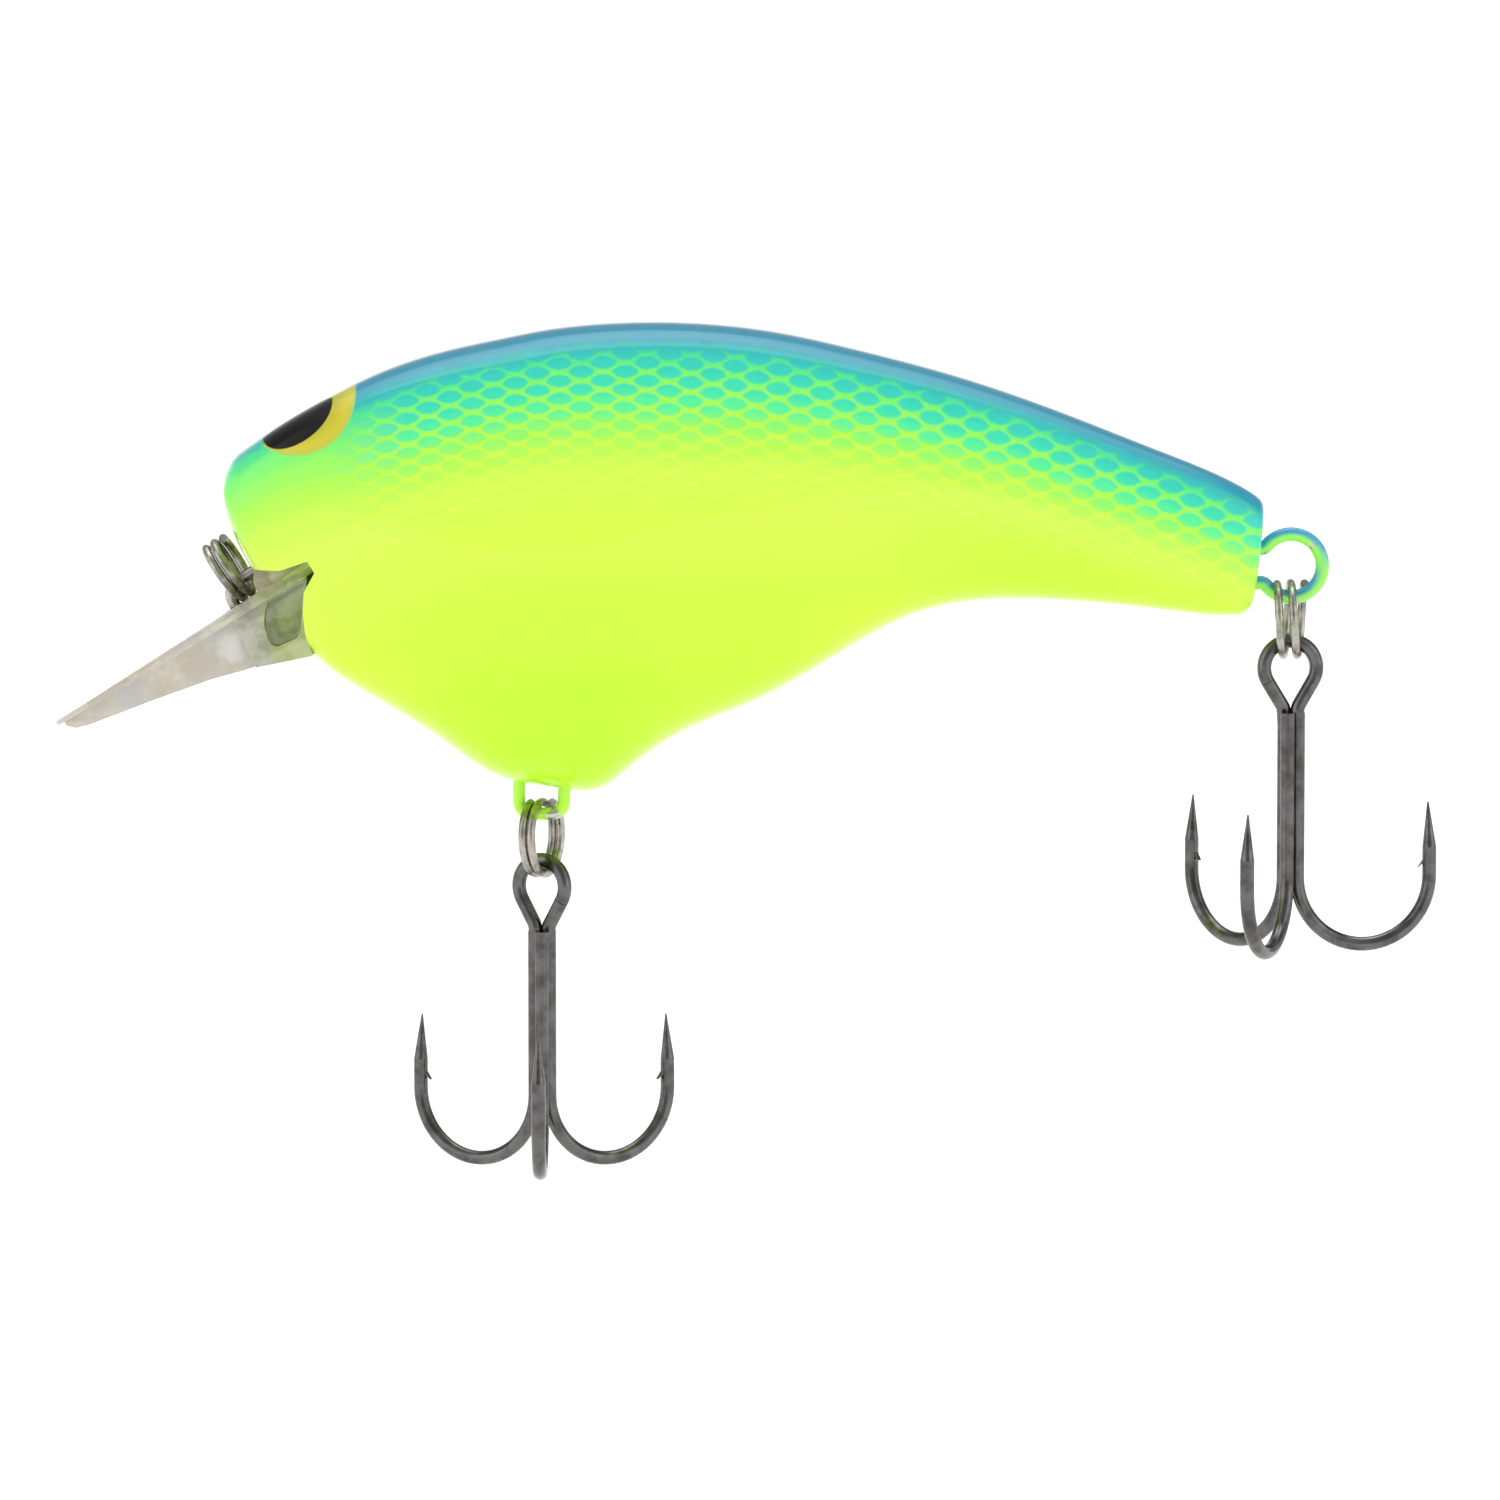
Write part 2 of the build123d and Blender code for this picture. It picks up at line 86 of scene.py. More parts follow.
# --- helpers --------------------------------------------------------------------------
def natural_spline(t, values, at):
    """A smooth curve through values at t, read at the places in `at`."""
    t, values = np.asarray(t, float), np.asarray(values, float)
    n = len(t)
    h = np.diff(t)
    a = np.eye(n)
    rhs = np.zeros(n)
    for i in range(1, n - 1):
        a[i, i - 1:i + 2] = h[i - 1], 2 * (h[i - 1] + h[i]), h[i]
        rhs[i] = 6 * ((values[i + 1] - values[i]) / h[i] - (values[i] - values[i - 1]) / h[i - 1])
    m = np.linalg.solve(a, rhs)
    k = np.clip(np.searchsorted(t, at, side="right") - 1, 0, n - 2)
    hk, left, right = h[k], at - t[k], t[k + 1] - at
    return ((m[k] * right ** 3 + m[k + 1] * left ** 3) / (6 * hk)
            + (values[k] / hk - m[k] * hk / 6) * right
            + (values[k + 1] / hk - m[k + 1] * hk / 6) * left)


def new_object(name, mesh):
    obj = bpy.data.objects.new(name, mesh)
    bpy.context.scene.collection.objects.link(obj)
    return obj


def mesh_from(name, points, faces, scale=MM):
    mesh = bpy.data.meshes.new(name)
    mesh.from_pydata([tuple(c * scale for c in p) for p in points], [], faces)
    mesh.validate()
    return new_object(name, mesh)


def apply_modifiers(obj):
    graph = bpy.context.evaluated_depsgraph_get()
    mesh = bpy.data.meshes.new_from_object(obj.evaluated_get(graph))
    old = obj.data
    obj.modifiers.clear()
    obj.data = mesh
    bpy.data.meshes.remove(old)


def solid_between(name, loop, far_loop):
    """A closed solid between two matching outlines."""
    count = len(loop)
    faces = [list(range(count)), list(range(2 * count - 1, count - 1, -1))]
    for i in range(count):
        j = (i + 1) % count
        faces.append([i, i + count, j + count, j])
    obj = mesh_from(name, loop + far_loop, faces)
    make_outward(obj)
    return obj


def prism(name, outline, half_width):
    """An XZ outline thickened across Y."""
    return solid_between(name, [(x, -half_width, z) for x, z in outline],
                         [(x, half_width, z) for x, z in outline])


def make_outward(obj):
    bm = bmesh.new()
    bm.from_mesh(obj.data)
    bmesh.ops.recalc_face_normals(bm, faces=bm.faces)
    bm.to_mesh(obj.data)
    bm.free()


def cut(obj, cutter, operation="DIFFERENCE"):
    modifier = obj.modifiers.new("cut", "BOOLEAN")
    modifier.operation = operation
    modifier.solver = "EXACT"
    modifier.object = cutter
    apply_modifiers(obj)
    bpy.data.objects.remove(cutter)


def srgb(r, g, b, a=1.0):
    """A colour given as 0-255 display values, in the linear values that shaders take."""
    def linear(c):
        c /= 255
        return c / 12.92 if c <= 0.04045 else ((c + 0.055) / 1.055) ** 2.4
    return (linear(r), linear(g), linear(b), a)


# --- material building ----------------------------------------------------------------
class Nodes:
    """Short words for building one material's node tree."""

    def __init__(self, name):
        self.material = bpy.data.materials.new(name)
        self.material.use_nodes = True
        self.tree = self.material.node_tree
        self.shader = self.tree.nodes["Principled BSDF"]

    def add(self, kind, **settings):
        node = self.tree.nodes.new(kind)
        for key, value in settings.items():
            setattr(node, key, value)
        return node

    def link(self, source, target):
        self.tree.links.new(source, target)

    def put(self, socket, value):
        if isinstance(value, bpy.types.NodeSocket):
            self.link(value, socket)
        else:
            socket.default_value = value

    def math(self, operation, a, b=0.0, c=0.0):
        node = self.add("ShaderNodeMath", operation=operation)
        for socket, value in zip(node.inputs, (a, b, c)):
            self.put(socket, value)
        return node.outputs[0]

    def fade(self, value, low, high, to_low=0.0, to_high=1.0):
        node = self.add("ShaderNodeMapRange", interpolation_type="SMOOTHSTEP")
        for socket, v in zip(node.inputs, (value, low, high, to_low, to_high)):
            self.put(socket, v)
        return node.outputs[0]

    def mix(self, factor, a, b, blend="MIX"):
        node = self.add("ShaderNodeMix", data_type="RGBA", blend_type=blend)
        self.put(node.inputs[0], factor)
        self.put(node.inputs[6], a)
        self.put(node.inputs[7], b)
        return node.outputs[2]

    def ramp(self, value, stops):
        node = self.add("ShaderNodeValToRGB")
        node.color_ramp.interpolation = "EASE"
        elements = node.color_ramp.elements
        while len(elements) > 1:
            elements.remove(elements[0])
        elements[0].position, elements[0].color = stops[0]
        for place, colour in stops[1:]:
            elements.new(place).color = colour
        self.put(node.inputs[0], value)
        return node.outputs[0]

    def parts(self, vector):
        split = self.add("ShaderNodeSeparateXYZ")
        self.link(vector, split.inputs[0])
        return split.outputs

    def uv(self, name):
        u, v, _ = self.parts(self.add("ShaderNodeUVMap", uv_map=name).outputs[0])
        return u, v

    def place(self):
        node = self.add("ShaderNodeTexCoord")
        return node.outputs["Object"]

    def noise(self, scale, detail=4.0, rough=0.55, vector=None):
        node = self.add("ShaderNodeTexNoise")
        node.inputs["Scale"].default_value = scale
        node.inputs["Detail"].default_value = detail
        node.inputs["Roughness"].default_value = rough
        self.link(vector or self.place(), node.inputs["Vector"])
        return node.outputs[0]

    def bump(self, height, distance, strength=1.0):
        node = self.add("ShaderNodeBump")
        node.inputs["Strength"].default_value = strength
        node.inputs["Distance"].default_value = distance
        self.link(height, node.inputs["Height"])
        self.link(node.outputs[0], self.shader.inputs["Normal"])


# Depth below the back, in millimetres, that the paint's colour ramps run over.
PAINT_DEPTH = 32.0


def depth_ramp(nodes, value, stops):
    return nodes.ramp(value, [(depth / PAINT_DEPTH, srgb(*colour)) for depth, colour in stops])


PAINTED_HIGHLIGHT_CENTRE = (-0.85, -3.45)     # X, Z of the painted highlight on the bill
PAINTED_HIGHLIGHT_RADII = (0.95, 1.15)
SCALE_PITCH = 2.98        # along a row
SCALE_HALF = (0.292, 0.352)       # half a scale's length and height, in pitches
EYE_CENTRE = (3.55, 13.62)        # X, Z, seen from the side
EYE_RADIUS = 4.08
EYE_GATE_CENTRE = (4.7, 5.2)      # X, |Y|: the eye's outline seen from above
EYE_GATE = (3.55, 4.2)
PUPIL_CENTRE = (3.62, 12.02)
PUPIL_LONG, PUPIL_SHORT = 2.76, 1.55
PUPIL_TILT = math.radians(36)
PUPIL_GATE_CENTRE = (3.5, 4.75)   # X, |Y|
PUPIL_GATE = (3.0, 3.2)


def scale_distance(nodes):
    """How far a point lies from the middle of its nearest scale; 1 at the scale's edge."""
    u, v = nodes.uv("scales")
    nearest = None
    for shift in (0.0, 0.5):
        du, dv = [nodes.math("DIVIDE", nodes.math("ABSOLUTE", nodes.math(
            "SUBTRACT", nodes.math("FRACT", nodes.math("ADD", value, shift)), 0.5)), half)
            for value, half in ((u, SCALE_HALF[0]), (v, SCALE_HALF[1]))]
        oval = nodes.math("SQRT", nodes.math("ADD", nodes.math("MULTIPLY", du, du),
                                             nodes.math("MULTIPLY", dv, dv)))
        pointed = nodes.math("MULTIPLY", nodes.math("ADD", du, dv), 0.8)
        shape = nodes.math("ADD", nodes.math("MULTIPLY", oval, 0.82),
                           nodes.math("MULTIPLY", pointed, 0.18))
        nearest = shape if nearest is None else nodes.math("MINIMUM", nearest, shape)
    return nearest


def ellipse(nodes, across, up, centre, radii, tilt=0.0):
    """How far a point lies from an ellipse's centre, as a share of its radius."""
    dx = nodes.math("SUBTRACT", across, centre[0])
    dz = nodes.math("SUBTRACT", up, centre[1])
    c, s = math.cos(tilt), math.sin(tilt)
    along = nodes.math("ADD", nodes.math("MULTIPLY", dx, c), nodes.math("MULTIPLY", dz, s))
    over = nodes.math("SUBTRACT", nodes.math("MULTIPLY", dz, c), nodes.math("MULTIPLY", dx, s))
    along = nodes.math("DIVIDE", along, radii[0])
    over = nodes.math("DIVIDE", over, radii[1])
    return nodes.math("SQRT", nodes.math("ADD", nodes.math("MULTIPLY", along, along),
                                         nodes.math("MULTIPLY", over, over)))


def eye_paint(nodes, colour):
    """The eye over the colour given: a yellow iris and a black pupil, kept off the crest."""
    ex, ez = nodes.uv("eye")
    side, girth = nodes.uv("girth")
    reach = ellipse(nodes, ex, ez, EYE_CENTRE, (EYE_RADIUS, EYE_RADIUS))
    gate = ellipse(nodes, side, girth, EYE_GATE_CENTRE, EYE_GATE)
    iris_reach = nodes.math("MAXIMUM", reach, gate)
    iris = nodes.fade(iris_reach, 0.975, 1.015, 1.0, 0.0)
    iris_colour = nodes.ramp(iris_reach, [
        (0.0, srgb(180, 178, 30)), (0.7, srgb(198, 190, 38)), (0.88, srgb(212, 202, 54)),
        (0.99, srgb(196, 204, 74))])
    colour = nodes.mix(iris, colour, iris_colour)
    oval = ellipse(nodes, ex, ez, PUPIL_CENTRE, (PUPIL_LONG, PUPIL_SHORT), PUPIL_TILT)
    pupil_gate = ellipse(nodes, side, girth, PUPIL_GATE_CENTRE, PUPIL_GATE)
    pupil = nodes.fade(nodes.math("MAXIMUM", oval, pupil_gate), 0.97, 1.03, 1.0, 0.0)
    return nodes.mix(pupil, colour, srgb(6, 6, 7)), pupil


def body_paint():
    nodes = Nodes("body_paint")
    x, depth = nodes.uv("paint")
    mottle = nodes.noise(900.0, 3.0)
    wobble = nodes.math("MULTIPLY", nodes.math("SUBTRACT", mottle, 0.5), 0.5)
    speckle = nodes.math("SUBTRACT", nodes.noise(4200.0, 2.0, 0.7), 0.5)
    depth = nodes.math("ADD", depth, wobble)
    share = nodes.math("DIVIDE", depth, PAINT_DEPTH)

    # In both ramps the paler stops at mid depth (about 8 to 14 mm) are a painted soft highlight, and
    # the darker, greener stops towards the belly are the paint's chartreuse partly darkened by
    # painted shade; the fade from teal on the back to chartreuse is the paint's own.
    ground = depth_ramp(nodes, share, [
        (0.0, (34, 140, 172)), (0.9, (36, 156, 182)), (1.5, (46, 188, 176)),
        (2.2, (80, 230, 146)), (3.2, (124, 247, 112)), (4.6, (156, 250, 96)),
        (6.2, (184, 251, 80)), (8.0, (208, 252, 80)), (10.5, (220, 252, 86)),
        (14.0, (218, 252, 74)), (20.0, (208, 252, 54)), (26.0, (196, 251, 42)),
        (30.0, (188, 250, 36))])
    cells = depth_ramp(nodes, share, [
        (0.0, (34, 140, 172)), (0.9, (36, 156, 182)), (1.6, (48, 190, 190)),
        (2.6, (54, 212, 188)), (4.0, (64, 228, 182)), (5.4, (92, 245, 156)),
        (6.8, (146, 250, 110)), (8.2, (186, 251, 86)), (9.8, (212, 252, 84)),
        (14.0, (218, 252, 74)), (20.0, (208, 252, 54)), (26.0, (196, 251, 42)),
        (30.0, (188, 250, 36))])
    edge = nodes.math("ADD", scale_distance(nodes), nodes.math("MULTIPLY", speckle, 0.45))
    inside = nodes.fade(edge, 0.80, 1.16, 1.0, 0.0)
    behind_head = nodes.fade(x, 5.0, 12.0)
    netted = nodes.math("MULTIPLY", inside, behind_head)
    colour = nodes.mix(netted, ground, cells)
    # Painted shade: over the rear of the body below mid depth the colour is darkened and greened,
    # which ends the painted highlight of the mid band there.
    rear_painted_shade = nodes.math("MULTIPLY", nodes.fade(x, 38.0, 56.0), nodes.fade(depth, 8.0, 16.0))
    colour = nodes.mix(rear_painted_shade, colour, (0.80, 1.0, 0.36, 1.0), blend="MULTIPLY")

    colour, pupil = eye_paint(nodes, colour)
    nodes.link(colour, nodes.shader.inputs["Base Color"])
    nodes.shader.inputs["Roughness"].default_value = 0.42
    nodes.shader.inputs["Specular IOR Level"].default_value = 0.1
    nodes.link(nodes.fade(pupil, 0.0, 1.0, 1.0, 0.45), nodes.shader.inputs["Coat Weight"])
    nodes.shader.inputs["Coat Roughness"].default_value = 0.02
    nodes.shader.inputs["Coat IOR"].default_value = 1.36
    nodes.bump(nodes.noise(260.0, 2.0), 0.00002, 0.25)
    return nodes.material


def metal(name, colour, dark, roughness, scale=1500.0):
    """Plated or drawn metal with fine tarnish."""
    nodes = Nodes(name)
    stain = nodes.fade(nodes.noise(scale, 5.0), 0.35, 0.7)
    nodes.link(nodes.mix(stain, colour, dark), nodes.shader.inputs["Base Color"])
    nodes.shader.inputs["Metallic"].default_value = 1.0
    rough = nodes.fade(nodes.noise(scale * 1.7, 3.0), 0.3, 0.7, roughness * 0.8, roughness * 1.3)
    nodes.link(rough, nodes.shader.inputs["Roughness"])
    nodes.bump(nodes.noise(scale * 3, 2.0), 0.000008, 0.4)
    return nodes.material


def painted_wire(name, bare, over, under):
    """A wire loop sprayed from above and below, rubbed off in patches down to the steel. Where both
    sides are one paint, the darker underside colour is painted shade.
    """
    nodes = Nodes(name)
    upward = nodes.parts(nodes.add("ShaderNodeNewGeometry").outputs["Normal"])[2]
    paint = nodes.mix(nodes.fade(upward, -0.15, 0.40), under, over)
    worn = nodes.fade(nodes.noise(620.0, 3.0), bare, bare + 0.04)
    colour = nodes.mix(worn, paint, srgb(190, 188, 182))
    nodes.link(colour, nodes.shader.inputs["Base Color"])
    nodes.link(worn, nodes.shader.inputs["Metallic"])
    nodes.link(nodes.math("ADD", nodes.math("MULTIPLY", worn, -0.12), 0.38),
               nodes.shader.inputs["Roughness"])
    nodes.shader.inputs["Coat Weight"].default_value = 0.5
    nodes.shader.inputs["Coat Roughness"].default_value = 0.08
    nodes.bump(nodes.noise(2600.0, 3.0), 0.00003, 0.5)
    return nodes.material


def clear_plastic():
    """Clear plastic: a smoky tan front, a painted highlight patch, and a root painted with the body's
    green as it shows through the plastic.
    """
    nodes = Nodes("clear_plastic")
    shader = nodes.shader
    metres = nodes.parts(nodes.place())
    x = nodes.math("DIVIDE", metres[0], MM)
    z = nodes.math("DIVIDE", metres[2], MM)
    cloud = nodes.noise(420.0, 4.0, 0.6)
    broad = nodes.noise(230.0, 2.0)
    painted_glint_streak = nodes.noise(900.0, 5.0, 0.7)
    waves = nodes.math("MULTIPLY", nodes.math("SUBTRACT", cloud, 0.5), 2.6)
    along = nodes.math("ADD", x, waves)
    tan = nodes.mix(nodes.fade(cloud, 0.35, 0.65), srgb(210, 200, 178), srgb(236, 228, 208))
    tan = nodes.mix(nodes.fade(broad, 0.42, 0.66, 0.0, 0.7), tan, srgb(200, 202, 202))
    # Painted see-through: a grey-olive band across the bill where the line tie and nose ring show
    # blurred through the clear plastic.
    painted_see_through_ring = nodes.mix(nodes.fade(cloud, 0.4, 0.6), srgb(172, 174, 148), srgb(206, 206, 190))
    # Painted see-through: the root takes the body's green as it shows through the clear plastic, and
    # the paler streaks in it are painted highlight lines.
    green = nodes.mix(nodes.fade(cloud, 0.40, 0.60), srgb(168, 188, 100), srgb(204, 212, 150))
    green = nodes.mix(nodes.fade(painted_glint_streak, 0.55, 0.72, 0.0, 0.7), green, srgb(226, 228, 200))
    lean = nodes.math("ADD", along, nodes.math("MULTIPLY", z, 0.30))
    colour = nodes.mix(nodes.fade(lean, -2.2, -0.2), tan, painted_see_through_ring)
    colour = nodes.mix(nodes.fade(lean, 0.0, 1.4), colour, green)
    # Painted highlight: a near-white patch low on the bill, where its curved underside mirrors the
    # light.
    painted_highlight = nodes.math("ADD", ellipse(nodes, along, z, PAINTED_HIGHLIGHT_CENTRE, PAINTED_HIGHLIGHT_RADII),
                       nodes.math("MULTIPLY", nodes.math("SUBTRACT", painted_glint_streak, 0.5), 1.6))
    colour = nodes.mix(nodes.fade(painted_highlight, 0.2, 1.3, 0.95, 0.0), colour, srgb(246, 246, 240))
    riser = nodes.math("MULTIPLY", nodes.fade(z, 0.0, 0.8), nodes.fade(x, 1.6, 2.6, 1.0, 0.0))
    colour = nodes.mix(nodes.math("MULTIPLY", riser, 0.75), colour, srgb(222, 208, 172))
    nodes.link(colour, shader.inputs["Base Color"])
    shader.inputs["Transmission Weight"].default_value = 0.50
    shader.inputs["IOR"].default_value = 1.57
    shader.inputs["Coat Weight"].default_value = 1.0
    shader.inputs["Coat Roughness"].default_value = 0.03
    haze = nodes.fade(cloud, 0.35, 0.7, 0.05, 0.20)
    nodes.link(haze, shader.inputs["Roughness"])
    nodes.bump(nodes.noise(700.0, 3.0), 0.00012, 0.5)
    return nodes.material


def plastic_edge():
    """The bill's polished corners, which catch the light all along; their near-white colour is a
    painted highlight.
    """
    nodes = Nodes("plastic_edge")
    painted_glint = nodes.fade(nodes.noise(1300.0, 3.0), 0.40, 0.62)
    nodes.link(nodes.mix(painted_glint, srgb(176, 174, 156), srgb(250, 250, 244)),
               nodes.shader.inputs["Base Color"])
    nodes.shader.inputs["Transmission Weight"].default_value = 0.2
    nodes.shader.inputs["IOR"].default_value = 1.57
    nodes.link(nodes.fade(painted_glint, 0.0, 1.0, 0.10, 0.2), nodes.shader.inputs["Roughness"])
    return nodes.material


def plain(name, colour, roughness, metallic=0.0):
    nodes = Nodes(name)
    speck = nodes.fade(nodes.noise(700.0), 0.3, 0.7, 0.92, 1.04)
    nodes.link(nodes.mix(1.0, colour, speck, blend="MULTIPLY"), nodes.shader.inputs["Base Color"])
    nodes.shader.inputs["Roughness"].default_value = roughness
    nodes.shader.inputs["Metallic"].default_value = metallic
    return nodes.material


# --- the painted body -----------------------------------------------------------------
# X, and how many times faster the back's colours run down the side there.
PAINT_STRETCH = ((-1.0, 1.0, 3.5, 7.0, 15.0, 30.0, 51.0, 66.0),
                 (1.0, 1.0, 1.0, 1.0, 1.05, 1.0, 1.3, 1.45))
NOSE_LIFT = ((0.0, 2.0, 6.5), (1.2, 1.1, 0.0))      # X, and depth added: the nose starts in teal
CREST_X = 25.66           # the scale rows are highest here
CREST_Z = 18.38
ROW_SAG, ROW_SPAN = 5.0, 23.7     # how far, and how soon, the rows fall away from there
FIRST_ROW = 2.0           # the first row, below the crest
ROW_PITCH = ((20.0, 47.5), (1.15, 1.36))    # X, and the rows' distance apart
ROW_LEAN = 0.55           # share of a row's slope by which its scales lean
NOSE_LINE_X = 2.0         # ahead of this the paint follows a straight line, not the nose
NOSE_LINE_RUN = 4.0
NOSE_LINE_SLOPE = 0.62


def row_drop(x):
    return ROW_SAG * (np.sqrt(1 + ((x - CREST_X) / ROW_SPAN) ** 2) - 1)


def row_slope(x):
    s = (x - CREST_X) / ROW_SPAN
    return ROW_SAG / ROW_SPAN * s / np.sqrt(1 + s * s)


def paint_layers(mesh, back_x, back_z):
    """UV layers the paint reads: depth below the back, the scale net and the eye."""
    count = len(mesh.vertices)
    co = np.empty(count * 3)
    mesh.vertices.foreach_get("co", co)
    x, y, z = (co.reshape(-1, 3) / MM).T
    depth = (np.interp(x, back_x, back_z) - z) * np.interp(x, *PAINT_STRETCH)
    depth += np.interp(x, *NOSE_LIFT)

    below = CREST_Z - row_drop(x) - z
    lean = ROW_LEAN * row_slope(x)
    u = (x + lean * below - CREST_X) / SCALE_PITCH + 0.5
    v = (below - FIRST_ROW) / np.interp(x, *ROW_PITCH) + 0.5

    loops = np.empty(len(mesh.loops), dtype=np.int64)
    mesh.loops.foreach_get("vertex_index", loops)
    layers = {"paint": (x, depth), "scales": (u, v), "eye": (x, z), "girth": (x, np.abs(y))}
    for name, (a, b) in layers.items():
        layer = mesh.uv_layers.new(name=name)
        pair = np.stack([a[loops], b[loops]], axis=1)
        layer.data.foreach_set("uv", pair.ravel())


def body_curves():
    """The stations' smooth curves, read at even steps along the body."""
    rows = np.array(STATIONS)
    steps = np.linalg.norm(np.diff(rows[:, :4], axis=0), axis=1)
    t = np.concatenate([[0], np.cumsum(steps)])
    at = np.linspace(0, t[-1], LENGTH_STEPS)
    return [natural_spline(t, rows[:, i], at) for i in range(5)]


def back_line(xs, tops):
    """X and Z along the back, carried on straight over the blunt nose."""
    keep = xs > NOSE_LINE_X
    join_z = float(np.interp(NOSE_LINE_X, xs, tops))
    line_x = np.concatenate([[NOSE_LINE_X - NOSE_LINE_RUN, NOSE_LINE_X], xs[keep]])
    line_z = np.concatenate([[join_z - NOSE_LINE_SLOPE * NOSE_LINE_RUN, join_z], tops[keep]])
    return line_x, line_z


def painted_body():
    xs, tops, bottoms, widths, rounds = body_curves()
    angles = 2 * np.pi * (np.arange(ROUND_STEPS) + 0.5) / ROUND_STEPS
    points, faces = [], []
    for x, top, bottom, width, roundness in zip(xs, tops, bottoms, widths, rounds):
        widest = bottom + WIDEST_SHARE * (top - bottom)
        power = 2 / roundness
        c, s = np.cos(angles), np.sin(angles)
        reach = np.where(s > 0, top - widest, widest - bottom)
        ys = width * np.sign(c) * np.abs(c) ** power
        zs = widest + reach * np.sign(s) * np.abs(s) ** power
        slant = TAIL_SLANT * np.clip((x - SLANT_START_X) / (TAIL_X - SLANT_START_X), 0, 1) ** 2
        points += [(x - slant * (top - z) / (top - bottom), y, z) for y, z in zip(ys, zs)]
    n = ROUND_STEPS
    for i in range(LENGTH_STEPS - 1):
        for j in range(n):
            k = (j + 1) % n
            faces.append([i * n + j, i * n + k, (i + 1) * n + k, (i + 1) * n + j])
    faces.append(list(range(n - 1, -1, -1)))
    faces.append([(LENGTH_STEPS - 1) * n + j for j in range(n)])
    body = mesh_from("painted_body", points, faces)
    make_outward(body)
    cut(body, lip_notch())
    paint_layers(body.data, *back_line(xs, tops))
    body.data.polygons.foreach_set("use_smooth", [True] * len(body.data.polygons))
    body.data.set_sharp_from_angle(angle=math.radians(40))
    body.data.materials.append(body_paint())
    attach(body, "lure_body")
    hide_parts("body_half_left", "body_half_right")


def along_lip(forward, above):
    """X, Z of a point given along the bill and off its plane, from the line tie."""
    c, s = math.cos(LIP_ANGLE), math.sin(LIP_ANGLE)
    return (-forward * c - above * s, -forward * s + above * c)


def lip_notch():
    return prism("notch", [(-3.5, HEAD_FLOOR_Z), (2.5, HEAD_FLOOR_Z), along_lip(-5.05, -0.25),
                           along_lip(-5.05, -1.15), (4.15, 0.4), (4.06, -1.0), (4.2, -2.6),
                           (4.5, -4.2), (4.5, -14.0), (-3.5, -14.0)], 12)


# --- the clear bill -------------------------------------------------------------------
def slab_underside(forward):
    """Height of the plate's lower face: the plate thins from its root to its tip."""
    return PLATE_UNDER + PLATE_TAPER * (forward - 1.0)


def plan_prism(name, outline):
    """The bill's plate; outline points are (forward, across)."""
    def face(height):
        loop = []
        for forward, across in outline:
            x, z = along_lip(forward, height(forward))
            loop.append((x, across, z))
        return loop

    return solid_between(name, face(lambda forward: PLATE_TOP), face(slab_underside))


def tie_recess():
    """The round pocket around the line tie, where the nose ring swings."""
    def loop(height):
        points = []
        for i in range(TIE_RECESS_STEPS):
            turn = 2 * math.pi * i / TIE_RECESS_STEPS
            x, z = along_lip(TIE_RECESS_R * math.cos(turn), height)
            points.append((x, TIE_RECESS_R * math.sin(turn), z))
        return points

    return solid_between("tie_recess", loop(TIE_RECESS_TOP), loop(TIE_RECESS_FLOOR))


def shifted(obj, across):
    obj.data.transform(Matrix.Translation((0, across * MM, 0)))
    return obj


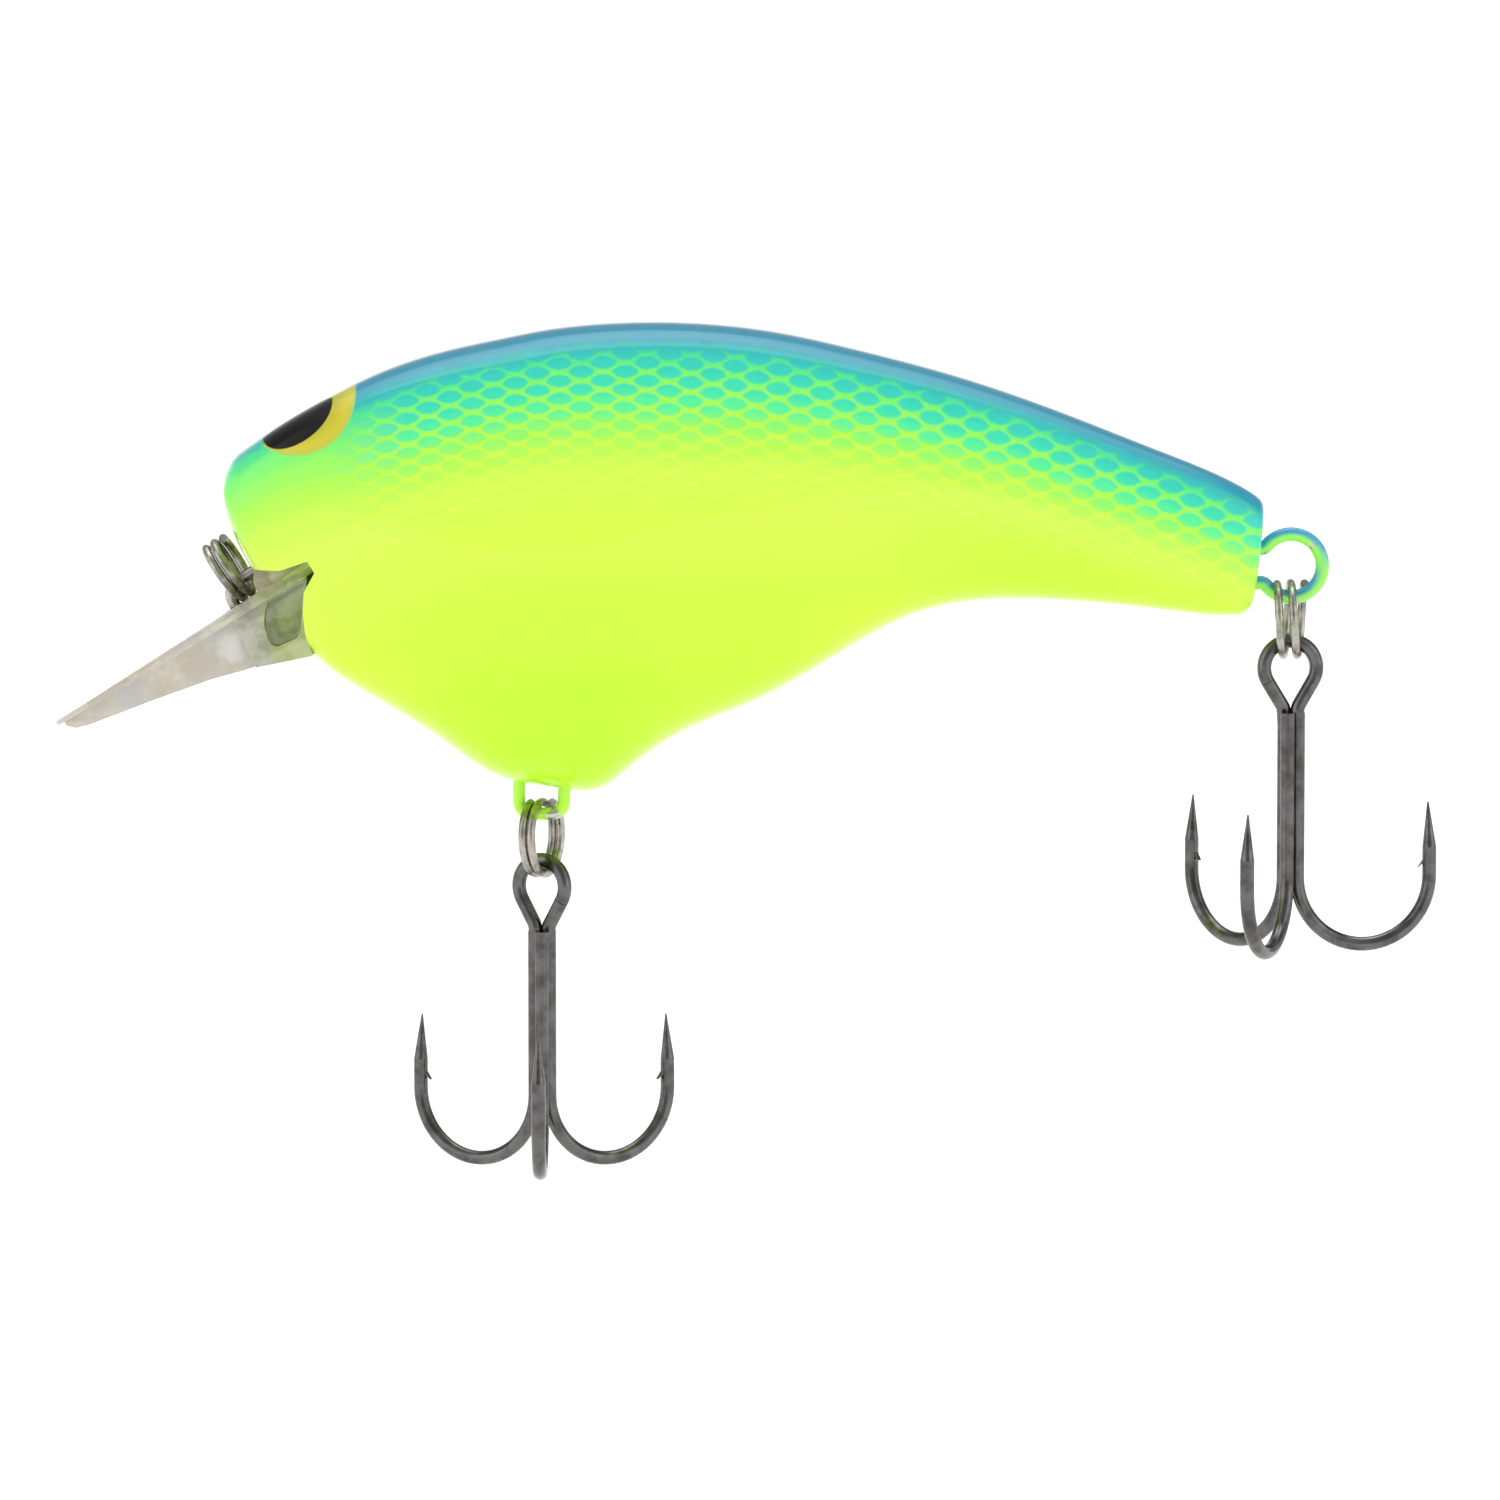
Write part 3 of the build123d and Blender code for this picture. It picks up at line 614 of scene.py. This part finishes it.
def clear_bill():
    half = [(-5.05, 4.2), (-1.5, 4.7), (1.0, 6.2), (3.2, 7.4), (5.4, 7.9), (7.4, 8.0),
            (12.3, 8.0), (13.4, 7.4), (14.5, 6.3), (15.0, 5.4)]
    bill = plan_prism("clear_bill", half + [(f, -w) for f, w in reversed(half)])
    inside = PLATE_TOP - 0.2          # a height within the plate, where the other parts start
    keel = prism("keel", [along_lip(14.9, inside), along_lip(14.95, -0.9), along_lip(14.5, -1.38),
                          along_lip(13.6, -1.68), along_lip(9.0, -2.62), along_lip(5.1, -3.49),
                          (-0.4, -5.12), (1.08, -4.67), (4.6, -3.96), (4.25, -1.0),
                          along_lip(-4.6, inside)], 1.7)
    block = prism("block", [(-0.75, -1.40), (-0.15, -2.6), (0.35, -3.7), (0.85, -4.70), (4.62, -3.93),
                            (4.36, -2.6), (4.2, -1.0), (4.3, 0.4), along_lip(-4.7, inside)], 4.2)
    window = [(1.62, -0.28), (1.42, -1.0), (1.40, -1.8), (1.58, -2.5), (1.80, -3.15),
              (2.25, -3.30), (3.0, -3.0), (3.62, -2.70), (3.86, -2.3), (3.90, -1.4), (3.96, -0.5),
              (4.08, 0.6), (4.05, 1.02), (3.4, 0.72)]
    for side in (-1, 1):
        cut(block, shifted(prism("window", window, 1.4), side * 3.2))
    riser = prism("riser", [along_lip(-0.9, inside), (0.62, 1.0), (0.70, HEAD_FLOOR_Z),
                            (2.5, HEAD_FLOOR_Z), along_lip(-4.9, PLATE_TOP), along_lip(-4.4, inside)],
                  3.4)
    tang = prism("tang", [along_lip(f, h) for f, h in
                          ((-4.0, -2.5), (-4.0, 0.5), (-5.0, 2.0), (-10.4, 2.0), (-10.4, -2.5))], 1.4)
    for other in (keel, block, riser, tang):
        cut(bill, other, "UNION")
    cut(bill, tie_recess())
    for material in (clear_plastic(), plastic_edge()):
        bill.data.materials.append(material)
    bevel = bill.modifiers.new("edges", "BEVEL")
    bevel.width = 0.13 * MM
    bevel.material = 1
    bevel.segments = 2
    bevel.limit_method = "ANGLE"
    bevel.angle_limit = math.radians(25)
    apply_modifiers(bill)
    bill.data.polygons.foreach_set("use_smooth", [True] * len(bill.data.polygons))
    bill.data.set_sharp_from_angle(angle=math.radians(32))
    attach(bill, "lure_body")
    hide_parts("diving_lip")


# --- finishes for the CAD pieces ------------------------------------------------------
def dress(node, material):
    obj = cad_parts[node]
    obj.data.materials.clear()
    obj.data.materials.append(material)


def finish_cad_pieces():
    black_nickel = metal("black_nickel", srgb(106, 104, 104), srgb(78, 77, 76), 0.20, 900.0)
    ring_steel = metal("ring_steel", srgb(176, 173, 164), srgb(138, 134, 124), 0.28)
    tie_steel = metal("tie_steel", srgb(190, 188, 180), srgb(160, 156, 146), 0.25)
    for node in ("belly_treble_double", "belly_treble_single", "tail_treble_double",
                 "tail_treble_single"):
        dress(node, black_nickel)
    for node in ("split_ring_nose", "split_ring_belly", "split_ring_tail"):
        dress(node, ring_steel)
    dress("line_tie_wire", tie_steel)
    chartreuse, teal = srgb(196, 248, 60), srgb(58, 165, 205)
    # The belly loop is all one chartreuse: its slightly darker underside colour is painted shade.
    dress("belly_hanger_wire", painted_wire("belly_wire_paint", 0.58, chartreuse,
                                            srgb(184, 246, 50)))
    dress("tail_hanger_wire", painted_wire("tail_wire_paint", 0.60, teal, srgb(150, 244, 84)))
    dress("belly_ballast", plain("ballast", srgb(118, 118, 120), 0.5, 1.0))
    for i in (1, 2, 3):
        dress(f"rattle_ball_{i}", plain(f"ball_{i}", srgb(200, 200, 202), 0.15, 1.0))


# --- stage ----------------------------------------------------------------------------
VIEW_CENTRE = Vector((33.99, 0.0, -10.56)) * MM
VIEW_WIDTH = 101.55 * MM
VIEW_DISTANCE = 514.5 * MM
ELEVATION = math.radians(4.4)
FLOOR_REACH = 3.0         # metres from the middle to each side
FLOOR_DROP = 58 * MM      # under the middle of the view


def camera():
    data = bpy.data.cameras.new("camera")
    obj = new_object("camera", data)
    data.sensor_width = 36
    data.lens = data.sensor_width * VIEW_DISTANCE / VIEW_WIDTH
    data.clip_start = 0.01
    back = Vector((0, -math.cos(ELEVATION), math.sin(ELEVATION)))
    obj.location = VIEW_CENTRE + back * VIEW_DISTANCE
    obj.rotation_euler = (math.radians(90) - ELEVATION, 0, 0)
    bpy.context.scene.camera = obj


def area_light(name, at, aim, size, watts):
    data = bpy.data.lights.new(name, "AREA")
    data.shape = "RECTANGLE"
    data.size, data.size_y = size
    data.energy = watts
    obj = new_object(name, data)
    obj.location = at
    obj.rotation_euler = (Vector(aim) - Vector(at)).to_track_quat("-Z", "Y").to_euler()


def floor_paper():
    nodes = Nodes("floor_paper")
    fibre = nodes.fade(nodes.noise(40.0), 0.3, 0.7, 0.78, 0.82)
    nodes.link(fibre, nodes.shader.inputs["Base Color"])
    nodes.shader.inputs["Roughness"].default_value = 0.9
    nodes.shader.inputs["Specular IOR Level"].default_value = 0.2
    nodes.shader.inputs["Emission Color"].default_value = (1, 1, 1, 1)
    nodes.shader.inputs["Emission Strength"].default_value = 0.48
    return nodes.material


FRONT_LEVEL = 0.46        # the unlit room behind the camera
SIDE_LEVEL = 1.74         # diffusers to the left and right
BACK_LEVEL = 1.10         # the white backdrop
ABOVE_LEVEL = 0.40        # over the backdrop
OVERHEAD_LEVEL = 2.6      # the softbox overhead


def soft_room():
    """Light from all round: dim in front, bright at the sides, white behind."""
    world = bpy.data.worlds.new("soft_room")
    bpy.context.scene.world = world
    world.use_nodes = True
    tree = world.node_tree
    coords = tree.nodes.new("ShaderNodeTexCoord")
    split = tree.nodes.new("ShaderNodeSeparateXYZ")
    tree.links.new(coords.outputs["Generated"], split.inputs[0])
    across = tree.nodes.new("ShaderNodeMath")
    across.operation = "ABSOLUTE"
    tree.links.new(split.outputs[0], across.inputs[0])

    def fade(value, low, high, from_level, to_level):
        node = tree.nodes.new("ShaderNodeMapRange")
        node.interpolation_type = "SMOOTHSTEP"
        for socket, v in zip(node.inputs, (value, low, high, from_level, to_level)):
            if isinstance(v, bpy.types.NodeSocket):
                tree.links.new(v, socket)
            else:
                socket.default_value = v
        return node.outputs[0]

    front = fade(across.outputs[0], 0.30, 0.85, FRONT_LEVEL, SIDE_LEVEL)
    backdrop = fade(split.outputs[2], 0.12, 0.45, BACK_LEVEL, ABOVE_LEVEL)
    back = fade(split.outputs[2], 0.76, 1.0, backdrop, OVERHEAD_LEVEL)
    level = fade(split.outputs[1], -0.115, -0.095, front, back)
    tree.links.new(level, tree.nodes["Background"].inputs["Strength"])
    tree.nodes["Background"].inputs["Color"].default_value = (1, 1, 1, 1)


def studio():
    soft_room()
    r = FLOOR_REACH
    floor = mesh_from("floor", [(-r, -r, 0), (r, -r, 0), (r, r, 0), (-r, r, 0)], [[0, 1, 2, 3]], 1.0)
    floor.location.z = VIEW_CENTRE.z - FLOOR_DROP
    floor.data.materials.append(floor_paper())

    area_light("overhead", (0.034, 0.25, 0.60), (0.034, 0.02, 0), (0.7, 0.3), 0.5)


def main():
    view = bpy.context.scene.view_settings
    view.view_transform = "Standard"
    view.look = "None"
    painted_body()
    clear_bill()
    finish_cad_pieces()
    camera()
    studio()


main()
